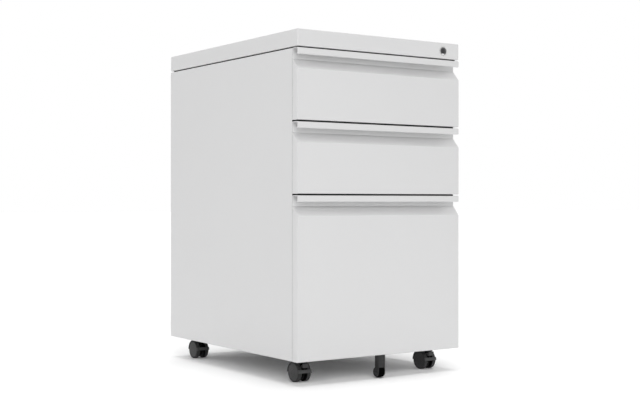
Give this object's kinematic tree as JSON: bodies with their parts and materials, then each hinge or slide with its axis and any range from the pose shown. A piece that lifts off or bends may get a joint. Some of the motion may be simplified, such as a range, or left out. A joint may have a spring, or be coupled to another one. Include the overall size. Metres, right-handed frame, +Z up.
{
  "type": "mobile pedestal filing cabinet",
  "caption": "Light-grey steel mobile pedestal: box drawers over a file drawer with full-width recessed pulls, ball-bearing slides, a top lock and twin-wheel casters.",
  "frame": {"origin": "on the floor under the middle of the cabinet's box", "axes": "+Z up, front facing -Y, +X to the right as seen from the front"},
  "size_m": [0.39, 0.514, 0.661],
  "materials": {
    "powder_coat": "fine light-grey powder coat, semi-matt",
    "tray_paint": "light-grey powder coat, matt",
    "zinc_steel": "bright zinc-plated steel",
    "ball_cage_steel": "plain pressed steel with polished balls",
    "bright_steel": "polished nickel plate",
    "lock_core": "dark satin",
    "spacer_black": "matt black",
    "guide_nylon": "moulded black nylon",
    "hood_nylon": "moulded dark-grey nylon",
    "wheel_nylon": "moulded nylon, satin",
    "bracket_black": "black satin paint",
    "roller_nylon": "moulded nylon"
  },
  "bodies": {
    "cabinet": {"side_panels": "powder_coat", "back_panel": "powder_coat", "base_pan": "powder_coat", "front_rail": "powder_coat", "top_cover": "powder_coat", "top_spacer": "spacer_black", "slide_uprights": "zinc_steel", "outer_slide_rails": "zinc_steel", "lock_bar_guides": "guide_nylon", "lock_barrel": "bright_steel", "lock_nut": "bright_steel", "caster_plates": "zinc_steel", "caster_fixings": "bright_steel"},
    "lock_plug": {"lock_plug": "lock_core", "lock_cam": "zinc_steel"},
    "lock_bar": {"lock_bar": "zinc_steel"},
    "drawer_1": {"drawer_1_front": "powder_coat", "drawer_1_liner": "tray_paint", "drawer_1_sides": "tray_paint", "drawer_1_floor": "tray_paint", "drawer_1_back": "tray_paint", "drawer_1_catch": "zinc_steel", "drawer_1_inner_rails": "zinc_steel"},
    "drawer_2": {"drawer_2_front": "powder_coat", "drawer_2_liner": "tray_paint", "drawer_2_sides": "tray_paint", "drawer_2_floor": "tray_paint", "drawer_2_back": "tray_paint", "drawer_2_catch": "zinc_steel", "drawer_2_inner_rails": "zinc_steel"},
    "drawer_3": {"drawer_3_front": "powder_coat", "drawer_3_liner": "tray_paint", "drawer_3_sides": "tray_paint", "drawer_3_floor": "tray_paint", "drawer_3_back": "tray_paint", "drawer_3_catch": "zinc_steel", "drawer_3_inner_rails": "zinc_steel", "hanging_folder_bars": "zinc_steel", "fifth_wheel_bracket": "bracket_black", "fifth_wheel_axle": "bright_steel"},
    "drawer_1_cages": {"drawer_1_ball_cages": "ball_cage_steel"},
    "drawer_2_cages": {"drawer_2_ball_cages": "ball_cage_steel"},
    "drawer_3_middle_rails": {"drawer_3_middle_rails": "zinc_steel"},
    "drawer_3_outer_cages": {"drawer_3_outer_ball_cages": "ball_cage_steel"},
    "drawer_3_inner_cages": {"drawer_3_inner_ball_cages": "ball_cage_steel"},
    "fifth_wheel": {"fifth_wheel_roller": "roller_nylon"},
    "caster_1": {"caster_1_hood": "hood_nylon"},
    "caster_1_wheels": {"caster_1_axle": "bright_steel", "caster_1_wheels": "wheel_nylon"},
    "caster_2": {"caster_2_hood": "hood_nylon"},
    "caster_2_wheels": {"caster_2_axle": "bright_steel", "caster_2_wheels": "wheel_nylon"},
    "caster_3": {"caster_3_hood": "hood_nylon"},
    "caster_3_wheels": {"caster_3_axle": "bright_steel", "caster_3_wheels": "wheel_nylon"},
    "caster_4": {"caster_4_hood": "hood_nylon"},
    "caster_4_wheels": {"caster_4_axle": "bright_steel", "caster_4_wheels": "wheel_nylon"},
    "caster_1_brake": {"caster_1_brake": "hood_nylon"},
    "caster_2_brake": {"caster_2_brake": "hood_nylon"}
  },
  "joints": [
    {"name": "drawer_1_slide", "type": "slide", "parent": "cabinet", "child": "drawer_1", "axis": [0, -1, 0], "range_m": [0, 0.33]},
    {"name": "drawer_1_cage_slide", "type": "slide", "parent": "cabinet", "child": "drawer_1_cages", "axis": [0, -1, 0], "range_m": [0, 0.165]},
    {"name": "drawer_2_slide", "type": "slide", "parent": "cabinet", "child": "drawer_2", "axis": [0, -1, 0], "range_m": [0, 0.33]},
    {"name": "drawer_2_cage_slide", "type": "slide", "parent": "cabinet", "child": "drawer_2_cages", "axis": [0, -1, 0], "range_m": [0, 0.165]},
    {"name": "drawer_3_slide", "type": "slide", "parent": "cabinet", "child": "drawer_3", "axis": [0, -1, 0], "range_m": [0, 0.45]},
    {"name": "drawer_3_middle_slide", "type": "slide", "parent": "cabinet", "child": "drawer_3_middle_rails", "axis": [0, -1, 0], "range_m": [0, 0.225]},
    {"name": "drawer_3_outer_cage_slide", "type": "slide", "parent": "cabinet", "child": "drawer_3_outer_cages", "axis": [0, -1, 0], "range_m": [0, 0.1125]},
    {"name": "drawer_3_inner_cage_slide", "type": "slide", "parent": "cabinet", "child": "drawer_3_inner_cages", "axis": [0, -1, 0], "range_m": [0, 0.3375]},
    {"name": "lock_turn", "type": "hinge", "parent": "cabinet", "child": "lock_plug", "pos_m": [0.154, -0.256, 0.644], "axis": [0, 1, 0], "range_deg": [0, 90]},
    {"name": "lock_bar_lift", "type": "slide", "parent": "cabinet", "child": "lock_bar", "axis": [0, 0, 1], "range_m": [0, 0.01131]},
    {"name": "fifth_wheel_spin", "type": "hinge", "parent": "drawer_3", "child": "fifth_wheel", "pos_m": [0, -0.2462, 0.0117], "axis": [1, 0, 0], "continuous": true},
    {"name": "caster_1_swivel", "type": "hinge", "parent": "cabinet", "child": "caster_1", "pos_m": [-0.153, -0.184, 0.044], "axis": [0, 0, 1], "continuous": true},
    {"name": "caster_1_roll", "type": "hinge", "parent": "caster_1", "child": "caster_1_wheels", "pos_m": [-0.153, -0.198, 0.0185], "axis": [1, 0, 0], "continuous": true},
    {"name": "caster_2_swivel", "type": "hinge", "parent": "cabinet", "child": "caster_2", "pos_m": [0.153, -0.184, 0.044], "axis": [0, 0, 1], "continuous": true},
    {"name": "caster_2_roll", "type": "hinge", "parent": "caster_2", "child": "caster_2_wheels", "pos_m": [0.153, -0.198, 0.0185], "axis": [1, 0, 0], "continuous": true},
    {"name": "caster_3_swivel", "type": "hinge", "parent": "cabinet", "child": "caster_3", "pos_m": [-0.153, 0.219, 0.044], "axis": [0, 0, 1], "continuous": true},
    {"name": "caster_3_roll", "type": "hinge", "parent": "caster_3", "child": "caster_3_wheels", "pos_m": [-0.153, 0.205, 0.0185], "axis": [1, 0, 0], "continuous": true},
    {"name": "caster_4_swivel", "type": "hinge", "parent": "cabinet", "child": "caster_4", "pos_m": [0.153, 0.219, 0.044], "axis": [0, 0, 1], "continuous": true},
    {"name": "caster_4_roll", "type": "hinge", "parent": "caster_4", "child": "caster_4_wheels", "pos_m": [0.153, 0.205, 0.0185], "axis": [1, 0, 0], "continuous": true},
    {"name": "caster_1_brake_press", "type": "hinge", "parent": "caster_1", "child": "caster_1_brake", "pos_m": [-0.153, -0.205, 0.0315], "axis": [1, 0, 0], "range_deg": [0, 12]},
    {"name": "caster_2_brake_press", "type": "hinge", "parent": "caster_2", "child": "caster_2_brake", "pos_m": [0.153, -0.205, 0.0315], "axis": [1, 0, 0], "range_deg": [0, 12]}
  ],
  "couplings": [
    {"joint": "drawer_1_cage_slide", "follows": "drawer_1_slide", "ratio": 0.5},
    {"joint": "drawer_2_cage_slide", "follows": "drawer_2_slide", "ratio": 0.5},
    {"joint": "drawer_3_middle_slide", "follows": "drawer_3_slide", "ratio": 0.5},
    {"joint": "drawer_3_outer_cage_slide", "follows": "drawer_3_slide", "ratio": 0.25},
    {"joint": "drawer_3_inner_cage_slide", "follows": "drawer_3_slide", "ratio": 0.75},
    {"joint": "lock_turn", "follows": "lock_bar_lift", "rad_per_m": 138.84}
  ]
}
